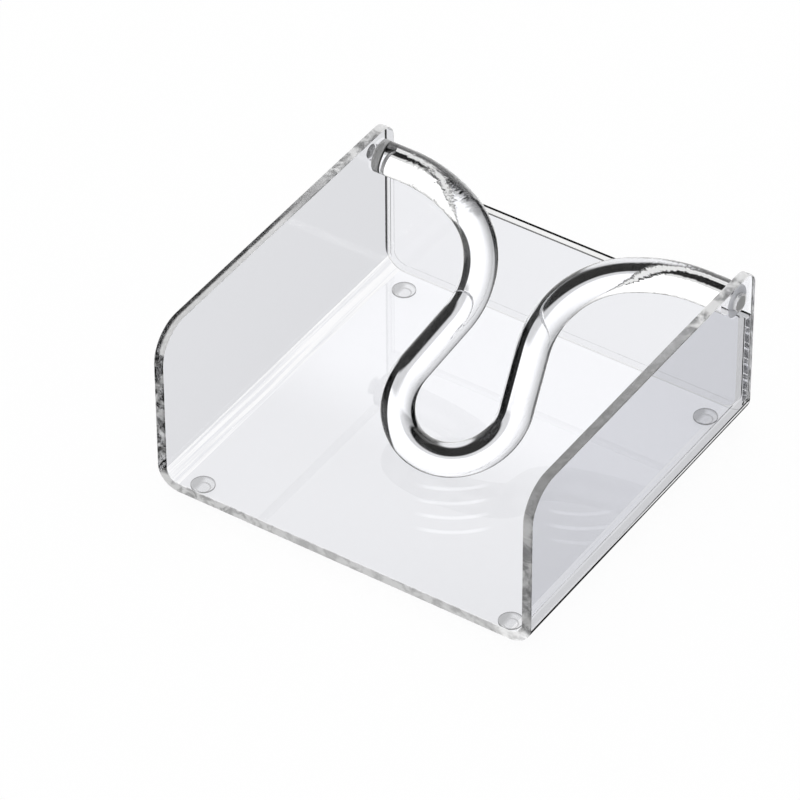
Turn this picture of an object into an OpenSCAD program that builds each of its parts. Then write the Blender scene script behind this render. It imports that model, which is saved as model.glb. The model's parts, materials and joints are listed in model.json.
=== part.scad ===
// Clear acrylic holder for a flat stack of cocktail napkins, in millimetres.
// A sheet bent into a tray stands on four bumpers, a panel closes its back, and a bent rod
// hangs between the side walls and weighs the napkins down.
// X runs across the holder, Y from the open front to the back, Z up. The origin is the
// centre of the footprint, on the table.

/* [Tray] */
// Width over the outer faces of the two side walls
tray_w = 139.7; // [125:0.1:200]
// Depth from the front edge to the rear edge
tray_d = 130.2; // [110:0.1:190]
// Height of the bent sheet, from its underside to the top of the side walls
wall_h = 61.7; // [52:0.1:80]
// Thickness of the bent sheet
sheet_t = 3.4; // [2.8:0.1:5]
// Inner radius of the two heat bends
bend_r = 4.6; // [3:0.1:8]
// Radius of the side walls' front top corners
front_corner_r = 12.5; // [6:0.1:20]
// Radius of the side walls' rear top corners
rear_corner_r = 6; // [3:0.1:7]

/* [Back panel] */
// Height of the back panel above the floor
back_h = 39.1; // [25:0.1:40]
// Thickness of the back panel
back_t = 3.4; // [2.8:0.1:5]
// How much rounder the panel's lower corners are than the heat bends
back_corner_relief = 0.4; // [0.2:0.1:1]

/* [Pivot] */
// Distance of the pivot axis from the tray's rear edge
pivot_inset = 8.5; // [7:0.1:12]
// Distance of the pivot axis below the top of the side walls
pivot_drop = 8.5; // [7:0.1:12]
// Diameter of the turned journals at the rod's ends
journal_d = 5.6; // [4:0.1:8]
// Radial running clearance of a journal in its hole
journal_clearance = 0.08; // [0.02:0.01:0.1]
// Gap between each rod shoulder and the wall beside it
shoulder_gap = 0.25; // [0.1:0.05:0.5]

/* [Arm] */
// Diameter of the rod
rod_d = 11.3; // [9:0.1:13]
// How much wider the rod swells where a bend meets a straight
bend_swell = 0.06; // [0.04:0.01:0.08]
// Centreline radius of the wide bend next to each straight end
wide_bend_r = 57; // [45:0.5:65]
// Turn of the wide bend
wide_bend_angle = 23; // [15:1:35]
// Length of the straight between the two bends
link_len = 2; // [1.8:0.1:4]
// Centreline radius of the tighter bend that leads into each leg
tight_bend_r = 30; // [24:0.5:33]
// Turn from the pivot axis to a leg, both bends together
leg_angle = 104; // [92:1:110]
// Length of the straight legs
leg_len = 20.4; // [12:0.1:24]
// Centreline radius of the loop that rests on the napkins
loop_r = 19.9; // [14:0.1:22]
// Gap under the loop when the holder is empty
rest_gap = 0.1; // [0.1:0.05:0.5]

/* [Feet] */
// Diameter of a bumper
foot_d = 8; // [6:0.1:12]
// Height of a bumper
foot_h = 1.8; // [1.2:0.1:4]
// Height of the straight rim above a bumper's dome
foot_rim = 0.5; // [0.3:0.1:0.8]
// Depth of the flat that the load presses into the dome's crown
foot_flat = 0.1; // [0.05:0.05:0.3]
// Distance from a side wall's outer face to a bumper's centre
foot_inset_x = 12; // [10:0.1:25]
// Distance from the front or rear edge to a bumper's centre
foot_inset_y = 7.5; // [6.5:0.1:20]

/* [Hidden] */
$fn = 96;
// Cutting solids reach this far past the faces that they cut
overshoot = 1;
// The rod's journals run this far into its shoulders
lap = 0.3;
// The rod's straights stop this far short of its bends, inside the swell between them
straight_gap = 0.2;
// Length of the slice of a ball that makes a swell, mostly buried in the rod
swell_len = 1.6;
clear_tint = [0.90, 0.93, 0.98, 0.45];
rod_tint = [0.75, 0.85, 0.98, 0.8];
foot_tint = [0.70, 0.74, 0.80, 0.9];

inner_w = tray_w - 2 * sheet_t;
top_z = foot_h + wall_h;
floor_z = foot_h + sheet_t;
front_y = -tray_d / 2;
rear_y = tray_d / 2;
bend_outer_r = bend_r + sheet_t;
back_corner_r = bend_r + back_corner_relief;

pivot_y = rear_y - pivot_inset;
pivot_z = top_z - pivot_drop;
hole_d = journal_d + 2 * journal_clearance;
journal_len = sheet_t + shoulder_gap;

// The arm's centreline lies in one plane through the pivot axis. There, x runs along the
// axis from its middle, and y falls as the arm reaches away from the axis.
shoulder_x = inner_w / 2 - shoulder_gap;
wide_centre = [
    (wide_bend_r - tight_bend_r) * sin(wide_bend_angle) + link_len * cos(wide_bend_angle)
        + (tight_bend_r + loop_r) * sin(leg_angle) + leg_len * cos(leg_angle),
    -wide_bend_r
];
link_start = wide_centre + wide_bend_r * away(wide_bend_angle);
link_end = link_start + link_len * ahead(wide_bend_angle);
tight_centre = link_end - tight_bend_r * away(wide_bend_angle);
leg_start = tight_centre + tight_bend_r * away(leg_angle);
leg_end = leg_start + leg_len * ahead(leg_angle);
loop_centre_y = leg_end[1] + loop_r * away(leg_angle)[1];
arm_reach = loop_r - loop_centre_y;
rest_angle = asin((pivot_z - floor_z - rod_d / 2 - rest_gap) / arm_reach);

// The dome is a part of a sphere that meets the foot's rim and is cut flat at the table
dome_h = foot_h - foot_rim + foot_flat;
dome_r = (pow(foot_d / 2, 2) + pow(dome_h, 2)) / (2 * dome_h);
foot_x = tray_w / 2 - foot_inset_x;
foot_y = tray_d / 2 - foot_inset_y;

// Unit vectors in the arm's plane, for a rod that has turned by an angle since it left the
// pivot axis: the way that it runs, and the way out from the centre of its bend
function ahead(turned) = [-cos(turned), -sin(turned)];
function away(turned) = [-sin(turned), cos(turned)];

// Rectangle that stands on the x axis, with its lower corners rounded
module round_bottomed(w, h, r) {
    translate([-w / 2, r])
        square([w, h - r]);
    translate([-w / 2 + r, 0])
        square([w - 2 * r, h]);
    for (side = [-1, 1])
        translate([side * (w / 2 - r), r])
            circle(r);
}

// Extrudes an outline drawn in X and Z along Y, from one y to another
module along_y(from_y, to_y) {
    translate([0, to_y, 0])
        rotate([90, 0, 0])
            linear_extrude(to_y - from_y)
                children();
}

// Side view of the walls, drawn in Y and Z, with round top corners
module wall_outline() {
    translate([front_y, 0])
        square([front_corner_r, top_z - front_corner_r]);
    translate([front_y + front_corner_r, 0])
        square([tray_d - front_corner_r - rear_corner_r, top_z]);
    translate([rear_y - rear_corner_r, 0])
        square([rear_corner_r, top_z - rear_corner_r]);
    translate([front_y + front_corner_r, top_z - front_corner_r])
        circle(front_corner_r);
    translate([rear_y - rear_corner_r, top_z - rear_corner_r])
        circle(rear_corner_r);
}

// Extrudes an outline drawn in Y and Z along X, centred
module along_x(w) {
    translate([-w / 2, 0, 0])
        rotate([90, 0, 90])
            linear_extrude(w)
                children();
}

// One sheet bent up at both sides, with a hole for a journal in each wall
module tray() {
    color(clear_tint)
        difference() {
            intersection() {
                difference() {
                    along_y(front_y, rear_y)
                        translate([0, foot_h])
                            round_bottomed(tray_w, wall_h, bend_outer_r);
                    along_y(front_y - overshoot, rear_y + overshoot)
                        translate([0, floor_z])
                            round_bottomed(inner_w, wall_h, bend_r);
                }
                along_x(tray_w + 2 * overshoot)
                    wall_outline();
            }
            translate([-tray_w / 2 - overshoot, pivot_y, pivot_z])
                rotate([0, 90, 0])
                    cylinder(d = hole_d, h = tray_w + 2 * overshoot);
        }
}

// Panel cemented between the side walls, on the floor, flush with the rear edges
module back_panel() {
    color(clear_tint)
        along_y(rear_y - back_t, rear_y)
            translate([0, floor_z])
                round_bottomed(inner_w, back_h, back_corner_r);
}

// Bend of the rod about a centre in the arm's plane
module rod_bend(centre, centreline_r, from_angle, turn) {
    translate([centre[0], centre[1], 0])
        rotate_extrude(angle = turn, start = from_angle)
            translate([centreline_r, 0])
                circle(d = rod_d);
}

// Slice of a ball a hair wider than the rod, where a bend meets a straight
module rod_swell(along) {
    translate([0, 0, along])
        intersection() {
            sphere(d = rod_d + bend_swell);
            cylinder(d = rod_d + overshoot, h = swell_len, center = true);
        }
}

// Straight of the rod, with the swell between it and the bend at each end
module rod_straight(from_point, turned, len) {
    translate([from_point[0], from_point[1], 0])
        rotate([0, 0, 180 + turned])
            rotate([0, 90, 0]) {
                rod_swell(0);
                translate([0, 0, straight_gap])
                    cylinder(d = rod_d, h = len - 2 * straight_gap);
                rod_swell(len);
            }
}

// Straight end of the rod on the pivot axis, with its swell, its shoulder and its journal
module rod_end() {
    rotate([0, 90, 0]) {
        rod_swell(wide_centre[0]);
        translate([0, 0, wide_centre[0] + straight_gap])
            cylinder(d = rod_d, h = shoulder_x - wide_centre[0] - straight_gap);
        translate([0, 0, shoulder_x - lap])
            cylinder(d = journal_d, h = lap + journal_len);
    }
}

// Right half of the arm, from the journal to the end of the leg
module arm_side() {
    rod_end();
    rod_bend(wide_centre, wide_bend_r, 90, wide_bend_angle);
    rod_straight(link_start, wide_bend_angle, link_len);
    rod_bend(tight_centre, tight_bend_r, 90 + wide_bend_angle, leg_angle - wide_bend_angle);
    rod_straight(leg_start, leg_angle, leg_len);
}

// Bent rod with a turned journal at each end, at rest with its loop just above the floor
module arm() {
    color(rod_tint)
        translate([0, pivot_y, pivot_z])
            rotate([rest_angle, 0, 0]) {
                arm_side();
                mirror([1, 0, 0])
                    arm_side();
                rod_bend([0, loop_centre_y], loop_r, 270 - leg_angle, 2 * leg_angle);
            }
}

// Clear bumper, stuck under the floor at one corner; each side is -1 or 1
module foot(side_x, side_y) {
    color(foot_tint)
        translate([side_x * foot_x, side_y * foot_y, 0])
            intersection() {
                cylinder(d = foot_d, h = foot_h);
                translate([0, 0, dome_r - foot_flat])
                    sphere(dome_r);
            }
}

tray();
back_panel();
arm();
foot(-1, -1);  // foot_front_left
foot(1, -1);  // foot_front_right
foot(-1, 1);  // foot_rear_left
foot(1, 1);  // foot_rear_right
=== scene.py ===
"""Looks of the clear napkin holder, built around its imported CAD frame, in metres."""

import json
import math

import bmesh
import bpy
from mathutils import Matrix, Vector


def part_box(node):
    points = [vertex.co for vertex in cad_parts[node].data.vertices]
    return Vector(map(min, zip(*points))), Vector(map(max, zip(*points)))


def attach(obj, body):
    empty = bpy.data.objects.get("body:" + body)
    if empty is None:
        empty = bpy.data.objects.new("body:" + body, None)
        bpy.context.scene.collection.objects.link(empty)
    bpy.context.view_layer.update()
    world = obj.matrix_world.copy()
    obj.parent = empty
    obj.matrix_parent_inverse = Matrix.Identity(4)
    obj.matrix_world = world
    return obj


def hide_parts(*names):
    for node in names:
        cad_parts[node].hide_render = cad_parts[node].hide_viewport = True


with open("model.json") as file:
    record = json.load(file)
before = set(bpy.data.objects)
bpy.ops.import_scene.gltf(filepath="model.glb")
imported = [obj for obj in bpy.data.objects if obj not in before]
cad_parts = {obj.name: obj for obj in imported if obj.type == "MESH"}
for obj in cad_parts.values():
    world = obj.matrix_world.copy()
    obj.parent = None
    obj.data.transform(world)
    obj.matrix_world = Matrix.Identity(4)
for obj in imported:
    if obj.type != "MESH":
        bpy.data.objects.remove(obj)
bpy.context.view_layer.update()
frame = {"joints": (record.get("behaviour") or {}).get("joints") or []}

# Driving sizes that the frame's boxes don't give, the same as in part.scad
BEND_R = 0.0046
FRONT_CORNER_R = 0.0125
REAR_CORNER_R = 0.006
PANEL_CORNER_R = 0.005
HOLE_R = 0.00288
JOURNAL_R = 0.0028
SHOULDER_GAP = 0.00025
ROD_R = 0.00565
WIDE_BEND_R = 0.057
WIDE_BEND_TURN = math.radians(23)
LINK_LEN = 0.002
TIGHT_BEND_R = 0.030
LEG_TURN = math.radians(104)
LEG_LEN = 0.0204
LOOP_R = 0.0199
REST_GAP = 0.0001
FOOT_DOME_R = 0.0064142857
FOOT_FLAT = 0.0001
FOOT_FLAT_R = 0.00113

# Sizes read from the frame
TRAY_LOW, TRAY_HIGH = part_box("tray")
PANEL_LOW, PANEL_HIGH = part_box("back_panel")
SHEET_T = PANEL_LOW.z - TRAY_LOW.z
INNER_HALF_W = TRAY_HIGH.x - SHEET_T
PIVOT = Vector(next(j for j in frame["joints"] if j["name"] == "arm_swing")["pos_m"])

# Fine shape that only the eye needs
ARRIS = 0.0003
AIR_FILM = 0.00002
CHAMFER = 0.0003
FOOT_ARRIS = 0.0001

# Fineness of the curves
QUARTER = math.pi / 2
ARRIS_STEPS = 3
ARC_STEPS = 16
HOLE_SIDES = 48
ROD_SIDES = 96
ROD_STEP = math.radians(2)
LEAST_ROD_STEPS = 8
DOME_STEPS = 10
FOOT_SIDES = 48
SHARP_FROM = math.radians(35)


def new_object(name, mesh, materials):
    """Links a mesh to the scene under a name, with its materials"""
    piece = bpy.data.objects.new(name, mesh)
    bpy.context.scene.collection.objects.link(piece)
    for material in materials:
        mesh.materials.append(material)
    return piece


def arc(centre, radius, start, end, steps):
    """Points and outward normals on a circle, from one angle to another, both ends included"""
    found = []
    for i in range(steps + 1):
        turn = start + (end - start) * i / steps
        way = Vector((math.cos(turn), math.sin(turn)))
        found.append((centre + radius * way, way))
    return found


def round_corner(x, y, radius, quarter):
    """Quarter of a circle about a centre, counted from the one that starts at +X"""
    return arc(Vector((x, y)), radius, quarter * QUARTER, (quarter + 1) * QUARTER, ARC_STEPS)


def circle_outline(centre, radius, sides):
    """Closed outline of a hole; its normals point into the hole"""
    return [(p, -way) for p, way in arc(centre, radius, 0, -4 * QUARTER, sides)][:-1]


def edge_rings(thickness, arris):
    """Inset, depth and lean of each ring that wraps a sheet's edge, from one face to the other"""
    rings = []
    for i in range(ARRIS_STEPS + 1):
        lean = QUARTER * i / ARRIS_STEPS
        rings.append((arris * (1 - math.sin(lean)), arris * (1 - math.cos(lean)), lean))
    for i in range(ARRIS_STEPS + 1):
        lean = QUARTER * (1 + i / ARRIS_STEPS)
        depth = thickness - arris * (1 + math.cos(lean))
        rings.append((arris * (1 - math.sin(lean)), depth, lean))
    return rings


class Plate:
    """A sheet drawn flat, with a rounded arris along its edges, which a function puts in place"""

    def __init__(self, thickness, arris):
        self.mesh = bmesh.new()
        self.flat = []
        self.rings = edge_rings(thickness, arris)

    def add_vertex(self, point, way, ring):
        inset, depth, lean = ring
        at = point - inset * way
        self.flat.append((at, depth, way, lean))
        return self.mesh.verts.new((at.x, at.y, depth))

    def add_edge(self, outline):
        """Wraps the edge along a closed outline; returns the first and last loop of vertices"""
        loops = [[self.add_vertex(p, way, ring) for p, way in outline] for ring in self.rings]
        count = len(outline)
        for upper, lower in zip(loops, loops[1:]):
            for i in range(count):
                j = (i + 1) % count
                face = self.mesh.faces.new((upper[i], upper[j], lower[j], lower[i]))
                face.material_index = 1
        return loops[0], loops[-1]

    def fill(self, *loops):
        """Closes a flat area that these loops bound"""
        edges = []
        for loop in loops:
            for a, b in zip(loop, loop[1:] + loop[:1]):
                edges.append(self.mesh.edges.get((a, b)) or self.mesh.edges.new((a, b)))
        bmesh.ops.triangle_fill(self.mesh, use_beauty=True, edges=edges)

    def finish(self, name, place, materials):
        """Puts each vertex and its normal in place, and makes the object"""
        bmesh.ops.recalc_face_normals(self.mesh, faces=self.mesh.faces)
        normals = []
        self.mesh.verts.ensure_lookup_table()
        for vertex, (at, depth, way, lean) in zip(self.mesh.verts, self.flat):
            vertex.co, along, across, inward = place(at, depth)
            edgeward = way.x * along + way.y * across
            normals.append(math.cos(lean) * inward + math.sin(lean) * edgeward)
        if self.mesh.calc_volume(signed=True) < 0:
            bmesh.ops.reverse_faces(self.mesh, faces=self.mesh.faces)
        mesh = bpy.data.meshes.new(name)
        self.mesh.to_mesh(mesh)
        self.mesh.free()
        mesh.shade_smooth()
        mesh.normals_split_custom_set_from_vertices(normals)
        return new_object(name, mesh, materials)


def tray(materials):
    """The sheet bent up at both sides, with a hole for a journal in each wall"""
    wall = TRAY_HIGH.z - TRAY_LOW.z - SHEET_T - BEND_R
    bend = QUARTER * (BEND_R + SHEET_T / 2)
    floor = 2 * (INNER_HALF_W - BEND_R)
    whole = 2 * (wall + bend) + floor
    half_d = TRAY_HIGH.y
    bends = [wall + bend * i / ARC_STEPS for i in range(ARC_STEPS + 1)]
    stations = bends + [whole - s for s in reversed(bends)]

    front_centre_y = FRONT_CORNER_R - half_d
    rear_centre_y = half_d - REAR_CORNER_R
    outline = round_corner(FRONT_CORNER_R, front_centre_y, FRONT_CORNER_R, 2)
    front_start = len(outline)
    outline += [(Vector((s, -half_d)), Vector((0, -1))) for s in stations]
    outline += round_corner(whole - FRONT_CORNER_R, front_centre_y, FRONT_CORNER_R, 3)
    outline += round_corner(whole - REAR_CORNER_R, rear_centre_y, REAR_CORNER_R, 0)
    rear_start = len(outline)
    outline += [(Vector((s, half_d)), Vector((0, 1))) for s in reversed(stations)]
    outline += round_corner(REAR_CORNER_R, rear_centre_y, REAR_CORNER_R, 1)
    hole_s = TRAY_HIGH.z - PIVOT.z
    hole_centres = [Vector((s, PIVOT.y)) for s in (hole_s, whole - hole_s)]
    holes = [circle_outline(centre, HOLE_R, HOLE_SIDES) for centre in hole_centres]

    plate = Plate(SHEET_T, ARRIS)
    edge_loops = plate.add_edge(outline)
    hole_loops = [plate.add_edge(hole) for hole in holes]
    count = len(stations)
    for side in (0, 1):
        loop = edge_loops[side]
        front = loop[front_start:front_start + count]
        rear = loop[rear_start:rear_start + count][::-1]
        for i in range(count - 1):
            strip = plate.mesh.faces.new((front[i], front[i + 1], rear[i + 1], rear[i]))
            strip.material_index = 0 if i == ARC_STEPS else 2 + side
        left = loop[:front_start + 1] + loop[rear_start + count - 1:]
        right = loop[front_start + count - 1:rear_start + 1]
        plate.fill(left, hole_loops[0][side])
        plate.fill(right, hole_loops[1][side])

    def place(at, depth):
        mirrored = at.x > whole / 2
        s = whole - at.x if mirrored else at.x
        if s <= wall:
            spot = Vector((-INNER_HALF_W - depth, at.y, TRAY_HIGH.z - s))
            along, inward = Vector((0, 0, -1)), Vector((1, 0, 0))
        elif s >= wall + bend:
            spot = Vector((s - wall - bend - floor / 2, at.y, TRAY_LOW.z + SHEET_T - depth))
            along, inward = Vector((1, 0, 0)), Vector((0, 0, 1))
        else:
            turn = QUARTER * (s - wall) / bend
            inward = Vector((math.cos(turn), 0, math.sin(turn)))
            along = Vector((math.sin(turn), 0, -math.cos(turn)))
            centre = Vector((BEND_R - INNER_HALF_W, at.y, TRAY_LOW.z + SHEET_T + BEND_R))
            spot = centre - (BEND_R + depth) * inward
        if mirrored:
            flip = Vector((-1, 1, 1))
            spot, along, inward = spot * flip, -(along * flip), inward * flip
        return spot, along, Vector((0, 1, 0)), inward

    piece = plate.finish("tray_sheet", place, materials)
    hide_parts("tray")
    return piece


def back_panel(materials):
    """The lower sheet between the walls"""
    half_w = PANEL_HIGH.x - AIR_FILM
    low = PANEL_LOW.z + AIR_FILM
    high = PANEL_HIGH.z
    tight = 2 * ARRIS
    low_x, low_z = half_w - PANEL_CORNER_R, low + PANEL_CORNER_R
    outline = round_corner(low_x, low_z, PANEL_CORNER_R, -1)
    outline += round_corner(half_w - tight, high - tight, tight, 0)
    outline += round_corner(tight - half_w, high - tight, tight, 1)
    outline += round_corner(-low_x, low_z, PANEL_CORNER_R, 2)
    plate = Plate(SHEET_T, ARRIS)
    loops = plate.add_edge(outline)
    for side in plate.mesh.faces:
        if side.calc_center_median().y < high - tight:
            side.material_index = 2
    for loop in loops:
        plate.fill(loop)

    def place(at, depth):
        spot = Vector((at.x, PANEL_LOW.y + depth, at.y))
        return spot, Vector((1, 0, 0)), Vector((0, 0, 1)), Vector((0, -1, 0))

    piece = plate.finish("back_sheet", place, materials)
    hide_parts("back_panel")
    return piece


def ahead(turned):
    """Way that the rod runs in the arm's plane, once it has turned by an angle"""
    return Vector((-math.cos(turned), -math.sin(turned)))


def away(turned):
    """Way out from the centre of the rod's bend"""
    return Vector((-math.sin(turned), math.cos(turned)))


def arm_route():
    """Points of the rod's centreline and the angle it has turned by, from shoulder to shoulder"""
    shoulder_x = INNER_HALF_W - SHOULDER_GAP
    wide_centre = Vector((
        (WIDE_BEND_R - TIGHT_BEND_R) * math.sin(WIDE_BEND_TURN)
        + LINK_LEN * math.cos(WIDE_BEND_TURN)
        + (TIGHT_BEND_R + LOOP_R) * math.sin(LEG_TURN)
        + LEG_LEN * math.cos(LEG_TURN),
        -WIDE_BEND_R,
    ))
    link_start = wide_centre + WIDE_BEND_R * away(WIDE_BEND_TURN)
    link_end = link_start + LINK_LEN * ahead(WIDE_BEND_TURN)
    tight_centre = link_end - TIGHT_BEND_R * away(WIDE_BEND_TURN)
    leg_start = tight_centre + TIGHT_BEND_R * away(LEG_TURN)
    leg_end = leg_start + LEG_LEN * ahead(LEG_TURN)
    loop_centre = leg_end + LOOP_R * away(LEG_TURN)

    half = [(Vector((shoulder_x, 0)), 0)]
    bends = [
        (wide_centre, WIDE_BEND_R, 0, WIDE_BEND_TURN, 1),
        (tight_centre, TIGHT_BEND_R, WIDE_BEND_TURN, LEG_TURN, 1),
        (loop_centre, LOOP_R, LEG_TURN, 0, -1),
    ]
    for centre, radius, start, end, side in bends:
        steps = max(LEAST_ROD_STEPS, round(abs(end - start) / ROD_STEP))
        for i in range(steps + 1):
            turned = start + (end - start) * i / steps
            half.append((centre + side * radius * away(turned), turned))
    other = [(Vector((-p.x, p.y)), -turned) for p, turned in reversed(half[:-1])]
    return half + other


def turned_end_rings(shoulder_x):
    """Rings of the rod's turned end, from the journal's tip to the shoulder. Each has its x, its
    radius, and how its normal leans along and across the axis before it and after it"""
    tip_x = TRAY_HIGH.x - AIR_FILM
    flat, slant, round_ = (1, 0), (1, 1), (0, 1)
    return [
        (tip_x, 0, flat, flat),
        (tip_x, JOURNAL_R - CHAMFER, flat, slant),
        (tip_x - CHAMFER, JOURNAL_R, slant, round_),
        (shoulder_x, JOURNAL_R, round_, flat),
        (shoulder_x, ROD_R - CHAMFER, flat, slant),
        (shoulder_x - CHAMFER, ROD_R, slant, round_),
    ]


def arm_rings(route, end):
    """Rings of the whole arm at rest. Each has its centre, its radius, the way to its first
    point, the way along the rod, and the lean of its normal before it and after it"""
    reach = -min(point.y for point, turned in route)
    drop = PIVOT.z - PANEL_LOW.z - ROD_R - REST_GAP
    rest = math.asin(drop / reach)
    outward = Vector((0, math.cos(rest), math.sin(rest)))
    side = Vector((1, 0, 0))
    rings = []
    for x, radius, before, after in end:
        rings.append((PIVOT + x * side, radius, outward, side, before, after))
    for point, turned in route[1:-1]:
        run, radial = -ahead(turned), away(turned)
        centre = PIVOT + point.x * side + point.y * outward
        first = radial.x * side + radial.y * outward
        along = run.x * side + run.y * outward
        rings.append((centre, ROD_R, first, along, (0, 1), (0, 1)))
    for x, radius, before, after in reversed(end):
        rings.append((PIVOT - x * side, radius, outward, -side, after, before))
    return rings, side.cross(outward)


def arm(materials):
    """The bent rod with its shoulders and journals, swept along its centreline at rest"""
    route = arm_route()
    end = turned_end_rings(route[0][0].x)
    rings, upward = arm_rings(route, end)
    build = bmesh.new()
    loops = []
    for centre, radius, first, along, before, after in rings:
        ways = []
        for i in range(ROD_SIDES if radius else 1):
            turn = 4 * QUARTER * i / ROD_SIDES
            ways.append(math.cos(turn) * first + math.sin(turn) * upward)
        verts = [build.verts.new(centre + radius * way) for way in ways]
        leans = [
            [(lean[0] * along + lean[1] * way).normalized() for way in ways]
            for lean in (before, after)
        ]
        loops.append((verts, leans))
    normals = []
    for k, ((near, near_leans), (far, far_leans)) in enumerate(zip(loops, loops[1:])):
        on_end = k < len(end) - 1 or k > len(loops) - len(end) - 1
        for i in range(ROD_SIDES):
            j = (i + 1) % ROD_SIDES
            corners = [
                (near, near_leans[1], i), (far, far_leans[0], i),
                (far, far_leans[0], j), (near, near_leans[1], j),
            ]
            if len(near) == 1:
                corners = [(near, near_leans[1], 0)] + corners[1:3]
            if len(far) == 1:
                corners = [corners[0], (far, far_leans[0], 0), corners[3]]
            face = build.faces.new([verts[at] for verts, leans, at in corners])
            face.material_index = 1 if on_end else 0
            normals += [leans[at] for verts, leans, at in corners]
    mesh = bpy.data.meshes.new("arm_rod")
    build.to_mesh(mesh)
    build.free()
    mesh.shade_smooth()
    mesh.normals_split_custom_set(normals)
    piece = new_object("arm_rod", mesh, materials)
    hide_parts("arm")
    return piece


def foot_profile(radius, height):
    """Half section of a bumper: its flat, its dome, its rim and its top"""
    profile = [(0.0, 0.0), (FOOT_FLAT_R, 0.0)]
    first = math.asin(FOOT_FLAT_R / FOOT_DOME_R)
    last = math.asin(radius / FOOT_DOME_R)
    for i in range(1, DOME_STEPS + 1):
        turn = first + (last - first) * i / DOME_STEPS
        rise = FOOT_DOME_R - FOOT_FLAT - FOOT_DOME_R * math.cos(turn)
        profile.append((FOOT_DOME_R * math.sin(turn), rise))
    profile += [(radius, height - FOOT_ARRIS), (radius - FOOT_ARRIS, height), (0.0, height)]
    return profile


def foot(node, materials):
    """A clear bumper turned about its own axis, in place of a CAD foot"""
    low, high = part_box(node)
    middle = Vector((low.x + high.x, low.y + high.y)) / 2
    build = bmesh.new()
    loops = []
    for radius, rise in foot_profile((high.x - low.x) / 2, high.z - AIR_FILM):
        # On the axis a ring is a single vertex, and the faces there are triangles
        ring = arc(middle, radius, 0, 4 * QUARTER, FOOT_SIDES if radius else 1)[:-1]
        loops.append([build.verts.new((at.x, at.y, rise)) for at, way in ring])
    for below, above in zip(loops, loops[1:]):
        for i in range(FOOT_SIDES):
            j = (i + 1) % FOOT_SIDES
            corners = [below[i % len(below)], below[j % len(below)]]
            corners += [above[j % len(above)], above[i % len(above)]]
            build.faces.new(list(dict.fromkeys(corners)))
    mesh = bpy.data.meshes.new(node + "_bumper")
    build.to_mesh(mesh)
    build.free()
    mesh.shade_smooth()
    mesh.set_sharp_from_angle(angle=SHARP_FROM)
    piece = new_object(node + "_bumper", mesh, materials)
    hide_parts(node)
    return piece


# Colours and clear plastic. Every ramp from here on is given as the values where it starts
# and ends, and its results there.
WHITE = (1, 1, 1, 1)
NEUTRAL = (1, 1, 1)
TINT = (0.918, 0.924, 0.954)
# Grey of the outside of the bends: painted shade, darker than the sheet's own tint
OUTER_SHADED_TINT = (0.77, 0.775, 0.8)
IOR = 1.49
EDGE_LOST_IN_MIRRORS = 0.7


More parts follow.
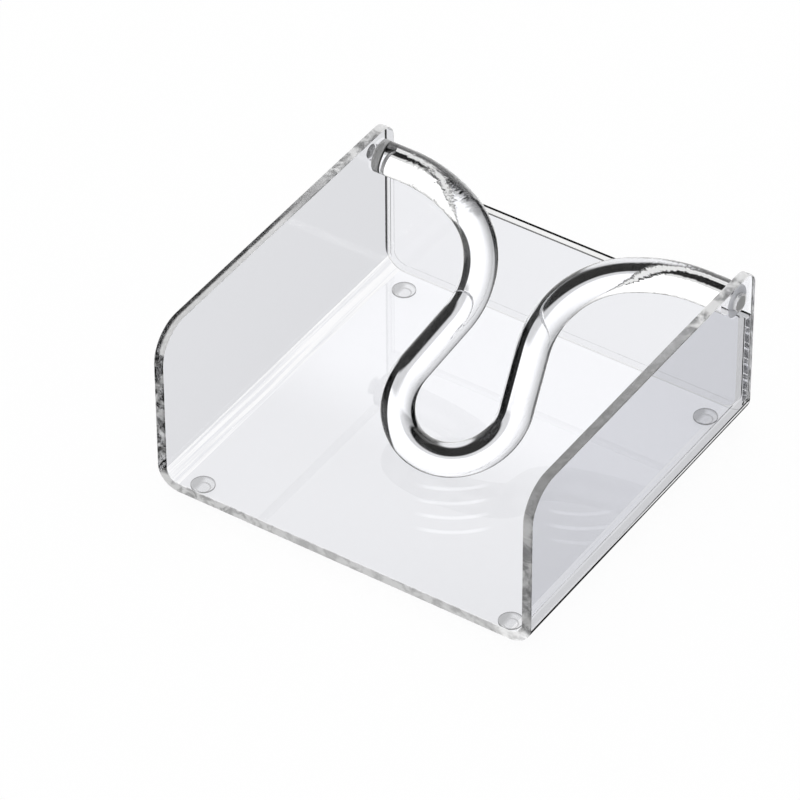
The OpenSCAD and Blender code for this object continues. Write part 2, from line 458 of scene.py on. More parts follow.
class Tree:
    """Short forms for adding and linking shader nodes"""

    def __init__(self, tree):
        self.tree = tree

    def add(self, kind, *values, **settings):
        """Adds a node; each value is a number, a colour or the output of another node"""
        node = self.tree.nodes.new("ShaderNode" + kind)
        for name, setting in settings.items():
            setattr(node, name, setting)
        for socket, value in zip(node.inputs, values):
            self.feed(socket, value)
        return node

    def feed(self, socket, value):
        """Sets an input, or links it where the value is another node's output"""
        if isinstance(value, bpy.types.NodeSocket):
            self.tree.links.new(value, socket)
        elif value is not None:
            socket.default_value = value

    def math(self, operation, *values, clamp=False):
        """Adds a Math node and returns its output"""
        return self.add("Math", *values, operation=operation, use_clamp=clamp).outputs[0]

    def product(self, first, *others):
        """All the values multiplied"""
        for value in others:
            first = self.math("MULTIPLY", first, value)
        return first

    def either(self, first, *others):
        """The largest of the values"""
        for value in others:
            first = self.math("MAXIMUM", first, value)
        return first

    def rest(self, value):
        """What a value lacks to 1"""
        return self.math("SUBTRACT", 1, value)

    def distance(self, a, from_a, b, from_b):
        """Distance of a point from another in a plane"""
        far_a = self.math("POWER", self.math("SUBTRACT", a, from_a), 2)
        far_b = self.math("POWER", self.math("SUBTRACT", b, from_b), 2)
        return self.math("SQRT", self.math("ADD", far_a, far_b))

    def ramp(self, value, start, end, low, high):
        """Smooth step of a value from low to high between two ends, and returns its output"""
        node = self.add(
            "MapRange", value, start, end, low, high, interpolation_type="SMOOTHSTEP"
        )
        return node.outputs["Result"]

    def between(self, share, low, high):
        """Number that goes from low to high as a share goes from 0 to 1"""
        return self.add("Mix", share, None, low, high).outputs[0]

    def noise(self, place, size, detail, roughness=None, distortion=None):
        """Cloudy value from 0 to 1, with blots of about a size"""
        node = self.add(
            "TexNoise", place, None, 1 / size, detail, roughness, None, None, None, distortion
        )
        return node.outputs["Fac"]

    def grey(self, shade):
        """Grey colour of a shade"""
        return self.add("CombineColor", shade, shade, shade).outputs[0]

    def dimmed(self, colour, factor):
        """Colour times a factor"""
        node = self.add("VectorMath", colour, operation="SCALE")
        self.feed(node.inputs["Scale"], factor)
        return node.outputs[0]

    def two_colours(self, share, first, second):
        """Colour that goes from the first to the second as a share goes from 0 to 1"""
        node = self.add("ValToRGB", share)
        node.color_ramp.elements[0].color = (*first, 1)
        node.color_ramp.elements[1].color = (*second, 1)
        return node.outputs[0]

    def clear(self, colour=WHITE):
        """Shader that lets what is behind show through, tinted"""
        return self.add("BsdfTransparent", colour).outputs[0]

    def mix(self, share, shader, other):
        """Shader that goes from one to the other as a share goes from 0 to 1"""
        return self.add("MixShader", share, shader, other).outputs[0]

    def emboss(self, shader, height, depth):
        """Gives a shader a relief of some depth"""
        bump = self.add("Bump", 1, depth)
        self.feed(bump.inputs["Height"], height)
        self.feed(shader.inputs["Normal"], bump.outputs["Normal"])

    def place(self):
        """Place on the part"""
        return self.add("TexCoord").outputs["Object"]

    def split(self, vector):
        """The x, y and z of a vector"""
        return self.add("SeparateXYZ", vector).outputs

    def geometry(self):
        return self.add("NewGeometry").outputs

    def path(self):
        return self.add("LightPath").outputs

    def grazing(self):
        """0 where a face looks at the ray, and 1 where it turns away from it"""
        return self.add("LayerWeight").outputs["Facing"]


def blank_material(name):
    """New material: its tree, its Principled shader and its output node"""
    material = bpy.data.materials.new(name)
    material.use_nodes = True
    nodes = material.node_tree.nodes
    return material, Tree(material.node_tree), nodes["Principled BSDF"], nodes["Material Output"]


def glass(name, colour, roughness):
    """Refractive plastic: its material, tree, shader and output"""
    material, tree, shader, output = blank_material(name)
    shader.inputs["Base Color"].default_value = (*colour, 1)
    shader.inputs["Roughness"].default_value = roughness
    shader.inputs["IOR"].default_value = IOR
    shader.inputs["Transmission Weight"].default_value = 1
    return material, tree, shader, output


def let_pass(tree, output, when, surface, other):
    """Shows surface, or other where when is 1"""
    tree.feed(output.inputs["Surface"], tree.mix(when, surface, other))


def soft_rays(tree):
    """1 for shadows and for light that a matte surface gathers"""
    path = tree.path()
    return tree.either(path["Is Shadow Ray"], path["Is Diffuse Ray"])


def straight_rays(tree):
    """1 for what the eye sees without a mirror or a bend on the way, and for soft rays"""
    return tree.either(tree.path()["Is Camera Ray"], soft_rays(tree))


def first_mirrored(tree):
    """1 for what is mirrored by a sheet and hasn't entered anything since"""
    path = tree.path()
    entered = tree.math("MINIMUM", path["Transmission Depth"], 1)
    return tree.product(path["Is Glossy Ray"], tree.rest(entered))


def clear_from_inside(tree, output, surface, colour=WHITE):
    """Shows surface, but lets what is seen straight pass where it meets it from inside"""
    inside = tree.product(tree.geometry()["Backfacing"], straight_rays(tree))
    mirrored = tree.product(first_mirrored(tree), EDGE_LOST_IN_MIRRORS)
    let_pass(tree, output, tree.either(inside, mirrored), surface, tree.clear(colour))


def cemented(tree):
    """1 where the back panel is cemented to the tray"""
    x, y, z = tree.split(tree.place())
    behind = tree.math("GREATER_THAN", y, PANEL_LOW.y)
    within = tree.math("LESS_THAN", tree.math("ABSOLUTE", x), INNER_HALF_W + ARRIS)
    below = tree.math("LESS_THAN", z, PANEL_HIGH.z)
    above = tree.math("GREATER_THAN", z, PANEL_LOW.z - ARRIS)
    return tree.product(behind, within, below, above)


def thin_sheet(tree, colour, joined, polish=1):
    """Sheet that doesn't bend what is seen through it: tint and gloss on its near side only,
    and neither where another sheet is joined to it"""
    behind = tree.geometry()["Backfacing"]
    if joined:
        behind = tree.either(behind, cemented(tree))
    once = tree.add("Fresnel", IOR).outputs[0]
    both = tree.math("DIVIDE", tree.product(once, 2), tree.math("ADD", once, 1))
    gloss = tree.add("BsdfGlossy", WHITE, 0).outputs[0]
    front = tree.mix(tree.product(both, polish), tree.clear(colour), gloss)
    return tree.mix(behind, front, tree.clear())


def finish_sheet(tree, output, straight, shader, thin, lost_in_mirrors):
    """Shows a thin sheet to straight rays and glass to the others, and hides a share of it
    from the mirrors"""
    seen = tree.mix(straight, shader.outputs[0], thin)
    lost = tree.product(first_mirrored(tree), lost_in_mirrors)
    let_pass(tree, output, lost, seen, tree.clear())


# Bowed lines of light on the floor: where each row starts, and how far it runs
GLEAMS = ((Vector((0.0079, -0.0140)), 0.034), (Vector((0.0485, -0.0015)), 0.024))
GLEAM_WAY = Vector((0.555, -0.832))
GLEAM_PITCH = 0.0068
GLEAM_HALF_W = 0.013
GLEAM_R = 0.03
GLEAM_CREST = (0.5, 1, 0, 1)


def gleams(tree, x, y, start, reach):
    """1 on a row of bowed lines of light that run away from a point on the floor"""
    x = tree.math("SUBTRACT", x, start.x)
    y = tree.math("SUBTRACT", y, start.y)
    way = GLEAM_WAY
    along = tree.math("ADD", tree.product(x, way.x), tree.product(y, way.y))
    across = tree.math("SUBTRACT", tree.product(x, way.y), tree.product(y, way.x))
    across = tree.math("ABSOLUTE", across)
    sag = tree.math("DIVIDE", tree.product(across, across), 2 * GLEAM_R)
    bowed = tree.math("ADD", along, sag)
    wave = tree.math("COSINE", tree.product(bowed, 4 * QUARTER / GLEAM_PITCH))
    lines = tree.ramp(wave, *GLEAM_CREST)
    ends = (
        (bowed, 0, GLEAM_PITCH / 2),
        (bowed, reach, reach - GLEAM_PITCH),
        (across, GLEAM_HALF_W, GLEAM_HALF_W / 2),
    )
    for value, none, full in ends:
        lines = tree.product(lines, tree.ramp(value, none, full, 0, 1))
    return lines


# Painted shade and light on the tray: along Y, how much darker the front of the floor is;
# across X, how much lighter the right wall is; up Z, how much darker the foot of the walls'
# outsides is
FRONT_SHADE = (0.02, -0.02, 0, 0.12)
RIGHT_WALL_PAINTED_LIGHT = (INNER_HALF_W - ARRIS, INNER_HALF_W, 1, 1.035)
FOOT_SHADE = (0.0136, 0.0132, 0, 0.12)


def tray_tint_with_painted_light(tree, colour):
    """Tint of the tray with painted light and shade: painted shade towards the front of its
    floor, but for the painted light that the loop throws there, painted light on the right wall,
    and painted shade along the foot of the walls' outsides"""
    x, y, z = tree.split(tree.place())
    lit = tree.either(*[gleams(tree, x, y, start, reach) for start, reach in GLEAMS])
    on_floor = tree.math("LESS_THAN", z, PANEL_LOW.z + ARRIS)
    lost = tree.product(tree.ramp(y, *FRONT_SHADE), on_floor, tree.rest(lit))
    outside = tree.math("GREATER_THAN", tree.math("ABSOLUTE", x), TRAY_HIGH.x - ARRIS)
    foot_shade = tree.product(outside, tree.ramp(z, *FOOT_SHADE))
    wall = tree.product(tree.ramp(x, *RIGHT_WALL_PAINTED_LIGHT), tree.rest(foot_shade))
    return tree.dimmed(colour, tree.product(wall, tree.rest(lost)))


# The line of sight over the back panel falls by this much for each step to the rear
SIGHT_SLOPE = 1.033
REFRACTING_SHIFT = 0.002
REAR_OBLIQUE = (0.35, 0.45, 0, 1)


def by_pivot_and_rear(tree):
    """1 on the outside of the walls, for the eye: above the back panel, around the arm's
    shoulder, and along the rear edge where that is seen obliquely"""
    x, y, z = tree.split(tree.place())
    outside = tree.math("GREATER_THAN", tree.math("ABSOLUTE", x), TRAY_HIGH.x - ARRIS)
    before_panel = tree.math("SUBTRACT", PANEL_LOW.y, y)
    sight_z = tree.math("MULTIPLY_ADD", before_panel, SIGHT_SLOPE, PANEL_HIGH.z)
    above = tree.math("GREATER_THAN", z, sight_z)
    oblique = tree.ramp(tree.grazing(), *REAR_OBLIQUE)
    rear = tree.product(tree.math("GREATER_THAN", y, PANEL_LOW.y - REFRACTING_SHIFT), oblique)
    hub_y, hub_z = PIVOT.y - REFRACTING_SHIFT, PIVOT.z + REFRACTING_SHIFT
    hub = tree.math("LESS_THAN", tree.distance(y, hub_y, z, hub_z), ROD_R + ARRIS)
    near_side = tree.rest(tree.geometry()["Backfacing"])
    eye = tree.product(tree.path()["Is Camera Ray"], near_side)
    return tree.product(outside, tree.either(above, hub, rear), eye)


def sheet_face(name, colour, joined):
    """Flat faces of the sheet: what is seen straight through them isn't bent, and what
    has been bent already, by the rod or an edge, is bent here as well"""
    material, tree, shader, output = glass(name, colour, 0)
    # The tray's tint carries painted light and shade
    tint = tray_tint_with_painted_light(tree, colour) if joined else (*colour, 1)
    thin = thin_sheet(tree, tint, joined)
    straight = straight_rays(tree)
    if joined:
        straight = tree.product(straight, tree.rest(by_pivot_and_rear(tree)))
    finish_sheet(tree, output, straight, shader, thin, 1)
    return material


# Inside of the bends: pale streaks of painted light, and painted shade where a face turns away
STREAK = (0.99, 0.99, 1.0)
STREAK_SIZE = 0.0012
STREAK_STRETCH = (1, 0.02, 1)
STREAK_DETAIL = (3, 0.6)
STREAK_SHARE = (0.35, 0.6, 0, 1)
# How the inside of a bend darkens where it turns away: painted shade
INNER_RIM = (0.7, 0.88, 1, 0.02)


def sheet_inner_bend(name, colour):
    """Inside of the bends: painted shade where it turns away, and pale streaks of painted light
    along it"""
    material, tree, shader, output = glass(name, colour, 0)
    stretched = tree.add("VectorMath", tree.place(), STREAK_STRETCH, operation="MULTIPLY")
    streaks = tree.noise(stretched.outputs[0], STREAK_SIZE, *STREAK_DETAIL)
    share = tree.ramp(streaks, *STREAK_SHARE)
    # Pale streaks of painted light over the tint, then painted shade at the rim
    tint = tree.two_colours(share, colour, STREAK)
    rimmed = tree.dimmed(tint, tree.ramp(tree.grazing(), *INNER_RIM))
    thin = thin_sheet(tree, rimmed, True, tree.rest(share))
    finish_sheet(tree, output, straight_rays(tree), shader, thin, EDGE_LOST_IN_MIRRORS)
    return material


# Outside of the bends, with painted shade and light. How far a face turns away decides where the
# painted dark lines lie; the second line comes and the outline moves outward along Y.
SECOND_LINE = 0.66
SECOND_LINE_HALF_W = 0.035
SECOND_LINE_SHADE = (-0.03, 0.02, 0, 0.95)
OUTLINE_START = (-0.03, 0.02, 0.71, 0.78)
OUTLINE_SHADE = 0.98
LIGHT_BETWEEN = (0.69, 0.71, 0, 1)
OUTER_BEND_POLISH = 0.2


def sheet_outer_bend(name, colour):
    """Outside of the bends: a grey of painted shade, with a painted dark outline and, towards the
    rear, a second painted dark line inside it, and painted light between the two"""
    material, tree, shader, output = glass(name, colour, 0)
    x, y, z = tree.split(tree.place())
    grazing = tree.grazing()
    on_second = tree.math("COMPARE", grazing, SECOND_LINE, SECOND_LINE_HALF_W)
    second = tree.product(on_second, tree.ramp(y, *SECOND_LINE_SHADE))
    past_start = tree.math("GREATER_THAN", grazing, tree.ramp(y, *OUTLINE_START))
    shade = tree.rest(tree.either(second, tree.product(past_start, OUTLINE_SHADE)))
    # Painted light between the lines, over the painted shade of the grey
    tint = tree.two_colours(tree.ramp(grazing, *LIGHT_BETWEEN), colour, NEUTRAL)
    thin = thin_sheet(tree, tree.dimmed(tint, shade), True, OUTER_BEND_POLISH)
    finish_sheet(tree, output, straight_rays(tree), shader, thin, EDGE_LOST_IN_MIRRORS)
    return material


# Edges of the tray: greys of its parts, partly their own haze and partly painted light and shade,
# then ramps along X, Y and Z that part them
EDGE_GREY = 0.42
PIVOT_EDGE_GREY = 0.6
FLOOR_EDGE_GREY = 0.9
PAINTED_LIGHT_STRIPE = 0.95
PAINTED_DARK_STRIPE = 0.04
EDGE_ROUGHNESS = 0.08
EDGE_HAZE = 0.6
FRONT_FACE = (-0.064, -0.0645, 0, 1)
UPRIGHT_GREY = (-0.06, 0.06, 0.18, 0.3)
LEFT_EDGE = (-0.06, -0.065, 0, 1)
BEFORE_PIVOT = (0.02, 0.0, 0, 1)
TOWARDS_PIVOT = (0.02, 0.035, 0.1, 1)
OUTER_HALF = (-TRAY_HIGH.x + 0.35 * SHEET_T, -TRAY_HIGH.x + 0.6 * SHEET_T, 1, 0)
NEAR_FLOOR = (TRAY_LOW.z + SHEET_T, TRAY_LOW.z + 2 * SHEET_T, 1, 0)
CLOUD_SIZE = 0.005
CLOUD_DETAIL = (3, 0.6, 0.5)
CLOUD_SPOT = (0.35, 0.65, -0.35, 0.45)
LEFT_MOTTLING = (-0.02, -0.05, 0.4, 1)
# Painted light on the rear top corners of the edges
REAR_CORNER = (0.057, 0.06, 0, 0.3)
TOP_CORNER = (0.05, 0.055, 0, 1)
# More matte grey on the right wall's front edge: partly haze, partly painted light
RIGHT_HAZE_AND_LIGHT = (0.05, 0.06, 0, 0.85)
WAVE_SIZE = 0.0025
WAVE_HEIGHT = 0.0004
WAVE_DETAIL = 2
# Painted dark lines along the rear arrises and along the outer side of the rear face
REAR_ARRIS = (0.0645, 0.0648, 0, 1)
REAR_ARRIS_LEAN = (0.98, 0.9, 0, 1)
REAR_ARRIS_RISE = (0.006, 0.012, 0.2, 1)
REAR_FACE_Y = 0.0648
OUTER_LINE = (TRAY_HIGH.x - 2.5 * ARRIS, TRAY_HIGH.x - 1.5 * ARRIS, 0, 0.85)


def edge_base(tree, x, y, z, front, rear):
    """Greys of the tray's edges, partly painted light and shade: the top edges, lighter by the
    pivot and with a painted light and dark stripe on the left before it, the upright front edges,
    darker on the left, and the floor's edges, painted lighter"""
    stripe = tree.between(tree.ramp(x, *OUTER_HALF), PAINTED_LIGHT_STRIPE, PAINTED_DARK_STRIPE)
    striped = tree.product(tree.ramp(x, *LEFT_EDGE), tree.ramp(y, *BEFORE_PIVOT))
    by_pivot = tree.between(rear, EDGE_GREY, PIVOT_EDGE_GREY)
    top = tree.between(striped, by_pivot, stripe)
    wall = tree.between(front, top, tree.ramp(x, *UPRIGHT_GREY))
    return tree.between(tree.ramp(z, *NEAR_FLOOR), wall, FLOOR_EDGE_GREY)


def edge_mottling_and_corner_light(tree, place, x, y, z, front, rear):
    """What the mottling and the painted light on the rear corners add to the grey of the tray's
    edges
    """
    spot = tree.ramp(tree.noise(place, CLOUD_SIZE, *CLOUD_DETAIL), *CLOUD_SPOT)
    mottled = tree.either(tree.product(front, tree.ramp(x, *LEFT_MOTTLING)), rear)
    corner = tree.product(tree.ramp(y, *REAR_CORNER), tree.ramp(z, *TOP_CORNER))
    return tree.math("MULTIPLY_ADD", spot, mottled, corner)


def rear_arris(tree, y, z):
    """1 on the arrises at the tray's rear, and less near the floor"""
    to_rear = tree.split(tree.geometry()["Normal"])[1]
    lean = tree.ramp(tree.math("ABSOLUTE", to_rear), *REAR_ARRIS_LEAN)
    return tree.product(tree.ramp(y, *REAR_ARRIS), lean, tree.ramp(z, *REAR_ARRIS_RISE))


def sheet_edge(name, colour):
    """Flame-polished edges of the tray: grey, wavy, and mottled towards the rear and the left,
    with painted dark lines along the rear arrises; the grey is partly painted light and shade"""
    material, tree, shader, output = glass(name, colour, EDGE_ROUGHNESS)
    place = tree.place()
    x, y, z = tree.split(place)
    front = tree.ramp(y, *FRONT_FACE)
    rear = tree.ramp(y, *TOWARDS_PIVOT)
    base = edge_base(tree, x, y, z, front, rear)
    # Mottling, and painted light on the rear corners
    blots = edge_mottling_and_corner_light(tree, place, x, y, z, front, rear)
    arris = rear_arris(tree, y, z)
    shade = tree.product(tree.math("ADD", base, blots, clamp=True), tree.rest(arris))
    tree.emboss(shader, tree.noise(place, WAVE_SIZE, WAVE_DETAIL), WAVE_HEIGHT)
    matte = tree.add("BsdfDiffuse", tree.grey(shade), 1).outputs[0]
    haze = tree.either(EDGE_HAZE, tree.product(front, tree.ramp(x, *RIGHT_HAZE_AND_LIGHT)))
    surface = tree.mix(haze, shader.outputs[0], matte)
    outer = tree.ramp(tree.math("ABSOLUTE", x), *OUTER_LINE)
    rear_line = tree.product(outer, tree.math("GREATER_THAN", y, REAR_FACE_Y))
    # Painted dark lines along the rear arrises, seen from inside
    seen_through = tree.rest(tree.either(arris, rear_line))
    clear_from_inside(tree, output, surface, tree.grey(seen_through))
    return material


# Top edge of the back panel, along Y: painted light with painted dark lines at its arrises
PANEL_FRONT = (PANEL_LOW.y + ARRIS, PANEL_LOW.y + 1.5 * ARRIS, 0.25, 0.95)
PANEL_REAR = (PANEL_HIGH.y - 4 * ARRIS, PANEL_HIGH.y - 3.5 * ARRIS, 1, 0)
PANEL_HAZE = 0.98


def panel_edge(name, colour):
    """Top edge of the back panel: painted light, with a painted dark line along its rear arris"""
    material, tree, shader, output = glass(name, colour, 0)
    x, y, z = tree.split(tree.place())
    shade = tree.product(tree.ramp(y, *PANEL_FRONT), tree.ramp(y, *PANEL_REAR))
    matte = tree.add("BsdfDiffuse", tree.grey(shade), 1).outputs[0]
    clear_from_inside(tree, output, tree.mix(PANEL_HAZE, shader.outputs[0], matte))
    return material


# Cemented joint of the back panel
JOINT_FIRST = (PANEL_LOW.y + 0.5 * ARRIS, PANEL_LOW.y + 0.8 * ARRIS, 1, 0)
JOINT_SECOND_Y = PANEL_LOW.y + 0.0011
JOINT_UPRIGHT = (PANEL_LOW.z + PANEL_CORNER_R / 2, PANEL_LOW.z + PANEL_CORNER_R, 0, 1)
JOINT_LINE_GAIN = 0.75
JOINT_LINE_LEAST = 0.15
JOINT_FIRST_LIGHT = 0.85
JOINT_GREY = 0.78
CEMENT_SIZE = 0.0015
CEMENT_DETAIL = (3, 0.7, 0.5)
CEMENT_SPOT = (0.3, 0.7, 0.4, 0.9)


def panel_joint(name):
    """Cemented sides and foot of the back panel: clear seen through the panel, with painted dark
    lines of shade beside its front arris, grey from outside, and mottled where a wall bends the
    view of it"""
    material, tree, shader, output = blank_material(name)
    place = tree.place()
    x, y, z = tree.split(place)
    # Painted shade: dark lines beside the front arris, seen through the panel
    first = tree.ramp(y, *JOINT_FIRST)
    second = tree.math("COMPARE", y, JOINT_SECOND_Y, ARRIS / 2)
    upright = tree.ramp(z, *JOINT_UPRIGHT)
    strength = tree.math("MULTIPLY_ADD", upright, JOINT_LINE_GAIN, JOINT_LINE_LEAST)
    lines = tree.product(tree.either(first, tree.product(second, upright)), strength)
    mottled = tree.ramp(tree.noise(place, CEMENT_SIZE, *CEMENT_DETAIL), *CEMENT_SPOT)
    mottled = tree.either(mottled, tree.product(first, JOINT_FIRST_LIGHT))
    outside = tree.between(tree.path()["Is Camera Ray"], mottled, JOINT_GREY)
    shade = tree.between(tree.geometry()["Backfacing"], outside, tree.rest(lines))
    tree.feed(output.inputs["Surface"], tree.clear(tree.grey(shade)))
    return material


# Turned ends of the rod. The ramp paints shade on a shoulder seen from inside the rod, out to its
# rim, and the tip's darker grey is painted shade.
END_ROUGHNESS = 0.3
SHOULDER_GREY = 0.72
TIP_GREY = 0.3
INNER_RIM_GREY = (ROD_R - 0.0011, ROD_R - 0.0008, 0.38, 0.02)
INNER_HUB_GREY = 0.5
TOOL_PITCH = 0.0004
TOOL_DEPTH = 0.00002
JOURNAL_CLEAR = (0.95, 0.95, 0.95, 1)
JOURNAL_SIDE_LOST = 0.7


def turned_end(name):
    """Turned shoulders and journals of the rod: matte and pale, with fine rings from the tool, a
    tip of painted shade, and painted shade on a shoulder seen from inside the rod. A journal's
    side is faint, and behind a sheet the eye sees nothing but its tip"""
    material, tree, shader, output = glass(name, NEUTRAL, END_ROUGHNESS)
    shader.inputs["Transmission Weight"].default_value = 0
    x, y, z = tree.split(tree.place())
    off_axis = tree.distance(z, PIVOT.z, y, PIVOT.y)
    out = tree.math("ABSOLUTE", x)
    on_disc = tree.math("LESS_THAN", off_axis, JOURNAL_R - CHAMFER)
    tip = tree.product(tree.math("GREATER_THAN", out, TRAY_HIGH.x - CHAMFER), on_disc)
    side = tree.product(tree.math("GREATER_THAN", out, INNER_HALF_W), tree.rest(tip))
    # The tip takes a darker grey: painted shade
    outer_side = tree.between(tip, SHOULDER_GREY, TIP_GREY)
    hub = tree.math("LESS_THAN", off_axis, JOURNAL_R)
    # Seen from inside the rod, a shoulder takes painted shade, darkest at its rim
    inner_side = tree.between(hub, tree.ramp(off_axis, *INNER_RIM_GREY), INNER_HUB_GREY)
    shade = tree.between(tree.geometry()["Backfacing"], outer_side, inner_side)
    tree.feed(shader.inputs["Base Color"], tree.grey(shade))
    rings = tree.math("SINE", tree.product(off_axis, 4 * QUARTER / TOOL_PITCH))
    tree.emboss(shader, rings, TOOL_DEPTH)
    faint = tree.product(side, straight_rays(tree), JOURNAL_SIDE_LOST)
    path = tree.path()
    through = tree.math("MINIMUM", path["Transparent Depth"], 1)
    hidden = tree.product(path["Is Camera Ray"], through, tree.rest(tip))
    faint = tree.either(faint, hidden)
    let_pass(tree, output, faint, shader.outputs[0], tree.clear(JOURNAL_CLEAR))
    return material


# Bumpers, shaded by how a face leans: its rim, the ring inside it and a crescent on one side
BUMPER_ROUGHNESS = 0.03
BUMPER_CLEAR = 0.95
BUMPER_RIM = (0.75, 0.85, 0.6, 0)
BUMPER_RING = 0.93
BUMPER_RING_HALF_W = 0.015
BUMPER_RING_SHADE = 0.25
BUMPER_CRESCENT = (0.1, 0.4, 0, 0.35)


def clear_bumper(name):
    """A bumper: soft clear plastic, which shows as two thin rings of painted shade under the
    floor, with a soft crescent of painted shade on their right"""
    material, tree, shader, output = glass(name, NEUTRAL, BUMPER_ROUGHNESS)
    x, y, z = tree.split(tree.geometry()["Normal"])
    lean = tree.math("ABSOLUTE", z)
    on_ring = tree.math("COMPARE", lean, BUMPER_RING, BUMPER_RING_HALF_W)
    ring = tree.product(on_ring, BUMPER_RING_SHADE)
    rings = tree.math("ADD", tree.ramp(lean, *BUMPER_RIM), ring)
    # Painted shade: the rings and the crescent darken the clear colour
    painted_rings_and_crescent = tree.either(rings, tree.ramp(x, *BUMPER_CRESCENT))
    clear = tree.clear(tree.grey(tree.math("SUBTRACT", BUMPER_CLEAR, painted_rings_and_crescent)))
    unbent = tree.either(straight_rays(tree), first_mirrored(tree))
    let_pass(tree, output, unbent, shader.outputs[0], clear)
    return material


# The rod. Its ripples come and go outward along X, and are weaker on the right.
ROD_CLEAR = (0.9, 0.9, 0.9, 1)
ROD_LOST_IN_MIRRORS = 0.85
RIPPLE_SIZE = 0.0012
RIPPLE_HEIGHT = 0.00018
RIPPLE_DETAIL = 2
RIPPLES_COME = (0.025, 0.035, 0.02, 1)
RIPPLES_GO = (0.052, 0.06, 1, 0.05)
RIPPLES_BY_SIDE = (-0.01, 0.01, 1, 0.5)


def clear_rod(name):
    """The rod: polished, with slight ripples where it was bent beside the shoulders. It lets
    most of the light through to the floor, and hardly shows in the gloss of the sheet"""
    material, tree, shader, output = glass(name, NEUTRAL, 0)
    place = tree.place()
    x, y, z = tree.split(place)
    out = tree.math("ABSOLUTE", x)
    bent = tree.product(tree.ramp(out, *RIPPLES_COME), tree.ramp(out, *RIPPLES_GO))
    ripples = tree.noise(place, RIPPLE_SIZE, RIPPLE_DETAIL)
    height = tree.product(ripples, bent, tree.ramp(x, *RIPPLES_BY_SIDE))
    tree.emboss(shader, height, RIPPLE_HEIGHT)
    mirrored = tree.product(first_mirrored(tree), ROD_LOST_IN_MIRRORS)
    lost = tree.either(soft_rays(tree), mirrored)
    let_pass(tree, output, lost, shader.outputs[0], tree.clear(ROD_CLEAR))
    return material


face = sheet_face("clear_sheet_face", TINT, True)
panel_face = sheet_face("clear_panel_face", TINT, False)
edge = sheet_edge("clear_sheet_edge", TINT)
inner_bend = sheet_inner_bend("clear_sheet_inner_bend", TINT)
outer_bend = sheet_outer_bend("clear_sheet_outer_bend", OUTER_SHADED_TINT)
panel_top = panel_edge("clear_panel_top", TINT)
joint = panel_joint("clear_panel_joint")
rod_face = clear_rod("clear_rod_face")
rod_end = turned_end("clear_rod_end")
bumper = clear_bumper("clear_bumper")

sheets = (tray([face, edge, inner_bend, outer_bend]), back_panel([panel_face, panel_top, joint]))
for piece in sheets:
    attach(piece, "holder")
rod = arm([rod_face, rod_end])
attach(rod, "arm")
for node in ("foot_front_left", "foot_front_right", "foot_rear_left", "foot_rear_right"):
    piece = foot(node, [bumper])
    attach(piece, "holder")


FLOOR_SIZE = 3
FLOOR_GLOW_SHARE = 0.88


def stage_floor():
    """White floor that keeps the object's shadow; bent and mirrored rays see the surround"""
    build = bmesh.new()
    bmesh.ops.create_grid(build, x_segments=1, y_segments=1, size=FLOOR_SIZE)
    mesh = bpy.data.meshes.new("floor")
    build.to_mesh(mesh)
    build.free()
    material, tree, shader, output = blank_material("floor_white")
    shader.inputs["Base Color"].default_value = WHITE
    shader.inputs["Roughness"].default_value = 1
    shader.inputs["Specular IOR Level"].default_value = 0
    path = tree.path()
    glow = tree.add("Emission", WHITE, 1).outputs[0]
    white = tree.mix(FLOOR_GLOW_SHARE, shader.outputs[0], glow)
    seen = tree.mix(path["Is Camera Ray"], shader.outputs[0], white)
    bent = tree.either(path["Is Transmission Ray"], path["Is Glossy Ray"])
    let_pass(tree, output, bent, seen, tree.clear())
    floor = new_object("floor", mesh, [material])
    floor.location.z = -AIR_FILM


# Surround, in degrees to the left of +Y and above or below the horizon. Each panel: where it
# starts and ends, and its glow up to its middle and at its end.
PANELS = ((3, 76, 1.3, 0.6), (96, 186, 0.35, 0.81), (-186, -96, 0.75, 0.75))
PANEL_COMES = 2
PANEL_GOES = 3
RIGHT_PANEL_COMES = (-90, -86, 0, 1)
RIGHT_PANEL_GOES = (-35, -30, 1, 0)
RIGHT_PANEL_GLOW = 1.1
PANELS_DIM = (41.5, 43.5, 1, 0.6)
PANELS_END = (46.5, 49, 1, 0)
POLES_GLOW = (68, 76, 0, 0.9)
DARK = 0.004


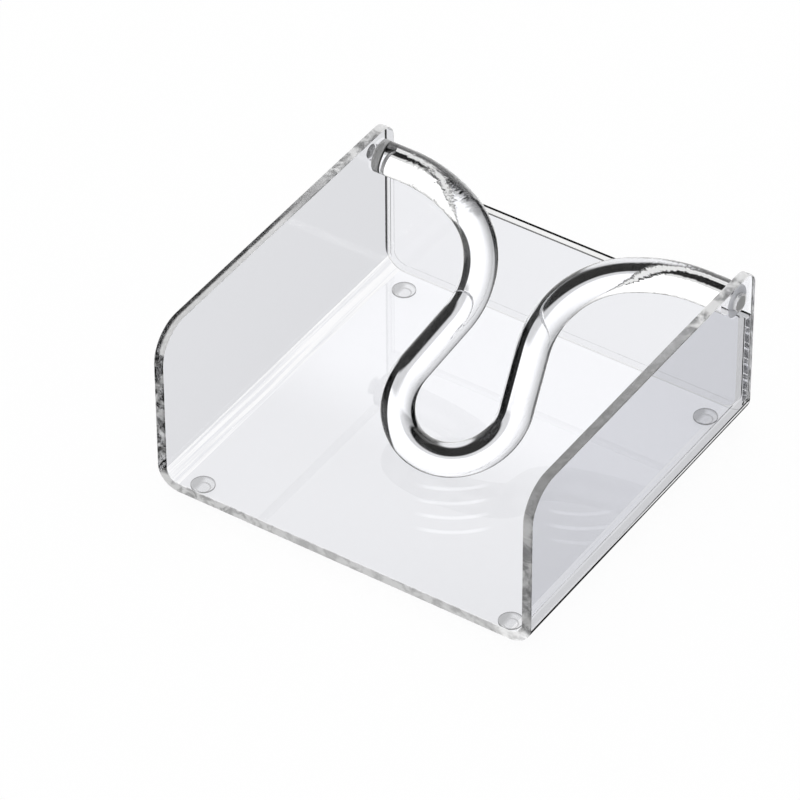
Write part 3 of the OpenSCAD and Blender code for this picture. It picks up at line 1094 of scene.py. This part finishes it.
def surround():
    """The studio: white all round for the eye and for matte surfaces. Glass sees bright panels
    to the left and behind the camera, one to the right for bent rays alone, light straight
    above and below, and dark between"""
    world = bpy.data.worlds.new("studio")
    bpy.context.scene.world = world
    world.use_nodes = True
    tree = Tree(world.node_tree)
    back = world.node_tree.nodes["Background"]
    back.inputs["Color"].default_value = WHITE
    x, y, z = tree.split(tree.add("TexCoord").outputs["Generated"])
    turn = tree.math("ARCTAN2", tree.product(x, -1), y)
    to_left = tree.product(turn, math.degrees(1))
    tilt = tree.product(tree.math("ARCSINE", tree.math("ABSOLUTE", z)), math.degrees(1))
    low = tree.product(tree.ramp(tilt, *PANELS_DIM), tree.ramp(tilt, *PANELS_END))
    glow = DARK
    for start, end, first, last in PANELS:
        comes = tree.ramp(to_left, start - PANEL_COMES, start + PANEL_COMES, 0, 1)
        goes = tree.ramp(to_left, end - PANEL_GOES, end + PANEL_GOES, 1, 0)
        level = tree.ramp(to_left, (start + end) / 2, end, first, last)
        glow = tree.either(tree.product(comes, goes, low, level), glow)
    glow = tree.either(glow, tree.ramp(tilt, *POLES_GLOW))
    path = tree.path()
    comes = tree.ramp(to_left, *RIGHT_PANEL_COMES)
    goes = tree.ramp(to_left, *RIGHT_PANEL_GOES)
    right_panel = tree.product(comes, goes, low, RIGHT_PANEL_GLOW)
    glow = tree.either(glow, tree.product(right_panel, path["Is Transmission Ray"]))
    spread = tree.math("MINIMUM", path["Diffuse Depth"], 1)
    plain = tree.either(path["Is Camera Ray"], spread)
    tree.feed(back.inputs["Strength"], tree.either(plain, glow))


# Camera, solved from the straight edges of the tray. The focal length is in pixels of a frame
# 800 wide, and the place is its offset along the frame's sides and its distance.
AZIMUTH = math.radians(33.694)
ELEVATION = math.radians(40.695)
ROLL = math.radians(-0.288)
FOCAL = 6222.6
FRAME_W = 800
SENSOR_W = 36
OFFSET_RIGHT = -0.017751
OFFSET_UP = 0.017156
DISTANCE = 1.98067
SIGHT_END = 20


def camera():
    back = Vector((
        math.sin(AZIMUTH) * math.cos(ELEVATION),
        -math.cos(AZIMUTH) * math.cos(ELEVATION),
        math.sin(ELEVATION),
    ))
    level = Vector((math.cos(AZIMUTH), math.sin(AZIMUTH), 0))
    upward = back.cross(level)
    right = math.cos(ROLL) * level + math.sin(ROLL) * upward
    up = math.cos(ROLL) * upward - math.sin(ROLL) * level
    data = bpy.data.cameras.new("camera")
    data.sensor_width = SENSOR_W
    data.lens = FOCAL * SENSOR_W / FRAME_W
    data.clip_end = SIGHT_END
    view = bpy.data.objects.new("camera", data)
    bpy.context.scene.collection.objects.link(view)
    view.location = OFFSET_RIGHT * right + OFFSET_UP * up + DISTANCE * back
    view.rotation_euler = Matrix((right, up, back)).transposed().to_euler()
    bpy.context.scene.camera = view


stage_floor()
surround()
camera()

LIGHT_BOUNCES = 24
GLOSSY_BOUNCES = 12

scene = bpy.context.scene
scene.view_settings.view_transform = "Standard"
scene.cycles.max_bounces = LIGHT_BOUNCES
scene.cycles.transmission_bounces = LIGHT_BOUNCES
scene.cycles.glossy_bounces = GLOSSY_BOUNCES
